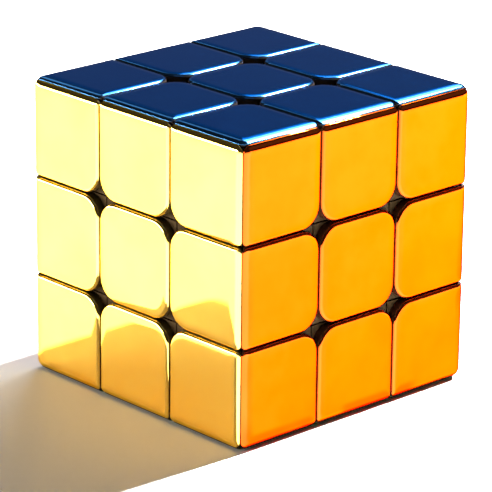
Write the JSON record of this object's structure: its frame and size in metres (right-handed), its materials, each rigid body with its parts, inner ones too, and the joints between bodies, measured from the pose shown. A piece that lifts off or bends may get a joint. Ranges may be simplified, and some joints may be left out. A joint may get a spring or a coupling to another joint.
{
  "type": "mirror-plated twisting cube puzzle",
  "caption": "Twisting cube puzzle of equal blocks with mirror-bright metallic caps, a different colour on each side, over dark plastic pieces that turn in layers on a hidden core.",
  "frame": {"origin": "centre of the cube, where the six turning axes cross", "axes": "+Z out of the blue side, -Y out of the gold side, +X out of the orange side; the cube rests on its green side"},
  "size_m": [0.056, 0.056, 0.056],
  "materials": {
    "blue_plating": "mirror-bright blue electroplating over plastic",
    "green_plating": "mirror-bright green electroplating over plastic",
    "gold_plating": "mirror-bright pale gold electroplating over plastic",
    "silver_plating": "mirror-bright silver electroplating over plastic",
    "orange_plating": "mirror-bright orange electroplating over plastic",
    "red_plating": "mirror-bright red electroplating over plastic",
    "dark_plastic": "moulded dark brown-black ABS, fine satin grain",
    "core_plastic": "moulded dark grey nylon, satin",
    "screw_steel": "bright zinc-plated steel"
  },
  "bodies": {
    "core": {"core": "core_plastic", "up_screw": "screw_steel", "down_screw": "screw_steel", "front_screw": "screw_steel", "back_screw": "screw_steel", "right_screw": "screw_steel", "left_screw": "screw_steel"},
    "up_centre": {"up_centre_base": "dark_plastic", "up_centre_cap": "blue_plating"},
    "down_centre": {"down_centre_base": "dark_plastic", "down_centre_cap": "green_plating"},
    "front_centre": {"front_centre_base": "dark_plastic", "front_centre_cap": "gold_plating"},
    "back_centre": {"back_centre_base": "dark_plastic", "back_centre_cap": "silver_plating"},
    "right_centre": {"right_centre_base": "dark_plastic", "right_centre_cap": "orange_plating"},
    "left_centre": {"left_centre_base": "dark_plastic", "left_centre_cap": "red_plating"},
    "up_front_edge": {"up_front_edge_base": "dark_plastic", "up_front_edge_shell": "blue_plating"},
    "up_back_edge": {"up_back_edge_base": "dark_plastic", "up_back_edge_shell": "blue_plating"},
    "up_right_edge": {"up_right_edge_base": "dark_plastic", "up_right_edge_shell": "blue_plating"},
    "up_left_edge": {"up_left_edge_base": "dark_plastic", "up_left_edge_shell": "blue_plating"},
    "down_front_edge": {"down_front_edge_base": "dark_plastic", "down_front_edge_shell": "green_plating"},
    "down_back_edge": {"down_back_edge_base": "dark_plastic", "down_back_edge_shell": "green_plating"},
    "down_right_edge": {"down_right_edge_base": "dark_plastic", "down_right_edge_shell": "green_plating"},
    "down_left_edge": {"down_left_edge_base": "dark_plastic", "down_left_edge_shell": "green_plating"},
    "front_right_edge": {"front_right_edge_base": "dark_plastic", "front_right_edge_shell": "gold_plating"},
    "front_left_edge": {"front_left_edge_base": "dark_plastic", "front_left_edge_shell": "gold_plating"},
    "back_right_edge": {"back_right_edge_base": "dark_plastic", "back_right_edge_shell": "silver_plating"},
    "back_left_edge": {"back_left_edge_base": "dark_plastic", "back_left_edge_shell": "silver_plating"},
    "up_front_right_corner": {"up_front_right_corner_base": "dark_plastic", "up_front_right_corner_shell": "blue_plating"},
    "up_front_left_corner": {"up_front_left_corner_base": "dark_plastic", "up_front_left_corner_shell": "blue_plating"},
    "up_back_right_corner": {"up_back_right_corner_base": "dark_plastic", "up_back_right_corner_shell": "blue_plating"},
    "up_back_left_corner": {"up_back_left_corner_base": "dark_plastic", "up_back_left_corner_shell": "blue_plating"},
    "down_front_right_corner": {"down_front_right_corner_base": "dark_plastic", "down_front_right_corner_shell": "green_plating"},
    "down_front_left_corner": {"down_front_left_corner_base": "dark_plastic", "down_front_left_corner_shell": "green_plating"},
    "down_back_right_corner": {"down_back_right_corner_base": "dark_plastic", "down_back_right_corner_shell": "green_plating"},
    "down_back_left_corner": {"down_back_left_corner_base": "dark_plastic", "down_back_left_corner_shell": "green_plating"}
  },
  "joints": [
    {"name": "up_turn", "type": "hinge", "parent": "core", "child": "up_centre", "pos_m": [0, 0, 0], "axis": [0, 0, 1], "continuous": true},
    {"name": "down_turn", "type": "hinge", "parent": "core", "child": "down_centre", "pos_m": [0, 0, 0], "axis": [0, 0, -1], "continuous": true},
    {"name": "front_turn", "type": "hinge", "parent": "core", "child": "front_centre", "pos_m": [0, 0, 0], "axis": [0, -1, 0], "continuous": true},
    {"name": "back_turn", "type": "hinge", "parent": "core", "child": "back_centre", "pos_m": [0, 0, 0], "axis": [0, 1, 0], "continuous": true},
    {"name": "right_turn", "type": "hinge", "parent": "core", "child": "right_centre", "pos_m": [0, 0, 0], "axis": [1, 0, 0], "continuous": true},
    {"name": "left_turn", "type": "hinge", "parent": "core", "child": "left_centre", "pos_m": [0, 0, 0], "axis": [-1, 0, 0], "continuous": true},
    {"name": "up_front_edge_on_front", "type": "hinge", "parent": "up_centre", "child": "up_front_edge", "pos_m": [0, 0, 0], "axis": [0, -1, 0], "continuous": true},
    {"name": "up_back_edge_on_back", "type": "hinge", "parent": "up_centre", "child": "up_back_edge", "pos_m": [0, 0, 0], "axis": [0, 1, 0], "continuous": true},
    {"name": "up_right_edge_on_up", "type": "hinge", "parent": "right_centre", "child": "up_right_edge", "pos_m": [0, 0, 0], "axis": [0, 0, 1], "continuous": true},
    {"name": "up_left_edge_on_up", "type": "hinge", "parent": "left_centre", "child": "up_left_edge", "pos_m": [0, 0, 0], "axis": [0, 0, 1], "continuous": true},
    {"name": "down_front_edge_on_front", "type": "hinge", "parent": "down_centre", "child": "down_front_edge", "pos_m": [0, 0, 0], "axis": [0, -1, 0], "continuous": true},
    {"name": "down_back_edge_on_back", "type": "hinge", "parent": "down_centre", "child": "down_back_edge", "pos_m": [0, 0, 0], "axis": [0, 1, 0], "continuous": true},
    {"name": "down_right_edge_on_down", "type": "hinge", "parent": "right_centre", "child": "down_right_edge", "pos_m": [0, 0, 0], "axis": [0, 0, -1], "continuous": true},
    {"name": "down_left_edge_on_down", "type": "hinge", "parent": "left_centre", "child": "down_left_edge", "pos_m": [0, 0, 0], "axis": [0, 0, -1], "continuous": true},
    {"name": "front_right_edge_on_right", "type": "hinge", "parent": "front_centre", "child": "front_right_edge", "pos_m": [0, 0, 0], "axis": [1, 0, 0], "continuous": true},
    {"name": "front_left_edge_on_left", "type": "hinge", "parent": "front_centre", "child": "front_left_edge", "pos_m": [0, 0, 0], "axis": [-1, 0, 0], "continuous": true},
    {"name": "back_right_edge_on_right", "type": "hinge", "parent": "back_centre", "child": "back_right_edge", "pos_m": [0, 0, 0], "axis": [1, 0, 0], "continuous": true},
    {"name": "back_left_edge_on_left", "type": "hinge", "parent": "back_centre", "child": "back_left_edge", "pos_m": [0, 0, 0], "axis": [-1, 0, 0], "continuous": true},
    {"name": "up_front_right_corner_on_right", "type": "hinge", "parent": "up_front_edge", "child": "up_front_right_corner", "pos_m": [0, 0, 0], "axis": [1, 0, 0], "continuous": true},
    {"name": "up_front_left_corner_on_left", "type": "hinge", "parent": "up_front_edge", "child": "up_front_left_corner", "pos_m": [0, 0, 0], "axis": [-1, 0, 0], "continuous": true},
    {"name": "up_back_right_corner_on_right", "type": "hinge", "parent": "up_back_edge", "child": "up_back_right_corner", "pos_m": [0, 0, 0], "axis": [1, 0, 0], "continuous": true},
    {"name": "up_back_left_corner_on_left", "type": "hinge", "parent": "up_back_edge", "child": "up_back_left_corner", "pos_m": [0, 0, 0], "axis": [-1, 0, 0], "continuous": true},
    {"name": "down_front_right_corner_on_right", "type": "hinge", "parent": "down_front_edge", "child": "down_front_right_corner", "pos_m": [0, 0, 0], "axis": [1, 0, 0], "continuous": true},
    {"name": "down_front_left_corner_on_left", "type": "hinge", "parent": "down_front_edge", "child": "down_front_left_corner", "pos_m": [0, 0, 0], "axis": [-1, 0, 0], "continuous": true},
    {"name": "down_back_right_corner_on_right", "type": "hinge", "parent": "down_back_edge", "child": "down_back_right_corner", "pos_m": [0, 0, 0], "axis": [1, 0, 0], "continuous": true},
    {"name": "down_back_left_corner_on_left", "type": "hinge", "parent": "down_back_edge", "child": "down_back_left_corner", "pos_m": [0, 0, 0], "axis": [-1, 0, 0], "continuous": true}
  ],
  "couplings": [
    {"joint": "up_front_edge_on_front", "follows": "front_turn", "ratio": 1},
    {"joint": "up_back_edge_on_back", "follows": "back_turn", "ratio": 1},
    {"joint": "up_right_edge_on_up", "follows": "up_turn", "ratio": 1},
    {"joint": "up_left_edge_on_up", "follows": "up_turn", "ratio": 1},
    {"joint": "down_front_edge_on_front", "follows": "front_turn", "ratio": 1},
    {"joint": "down_back_edge_on_back", "follows": "back_turn", "ratio": 1},
    {"joint": "down_right_edge_on_down", "follows": "down_turn", "ratio": 1},
    {"joint": "down_left_edge_on_down", "follows": "down_turn", "ratio": 1},
    {"joint": "front_right_edge_on_right", "follows": "right_turn", "ratio": 1},
    {"joint": "front_left_edge_on_left", "follows": "left_turn", "ratio": 1},
    {"joint": "back_right_edge_on_right", "follows": "right_turn", "ratio": 1},
    {"joint": "back_left_edge_on_left", "follows": "left_turn", "ratio": 1},
    {"joint": "up_front_right_corner_on_right", "follows": "right_turn", "ratio": 1},
    {"joint": "up_front_left_corner_on_left", "follows": "left_turn", "ratio": 1},
    {"joint": "up_back_right_corner_on_right", "follows": "right_turn", "ratio": 1},
    {"joint": "up_back_left_corner_on_left", "follows": "left_turn", "ratio": 1},
    {"joint": "down_front_right_corner_on_right", "follows": "right_turn", "ratio": 1},
    {"joint": "down_front_left_corner_on_left", "follows": "left_turn", "ratio": 1},
    {"joint": "down_back_right_corner_on_right", "follows": "right_turn", "ratio": 1},
    {"joint": "down_back_left_corner_on_left", "follows": "left_turn", "ratio": 1}
  ]
}
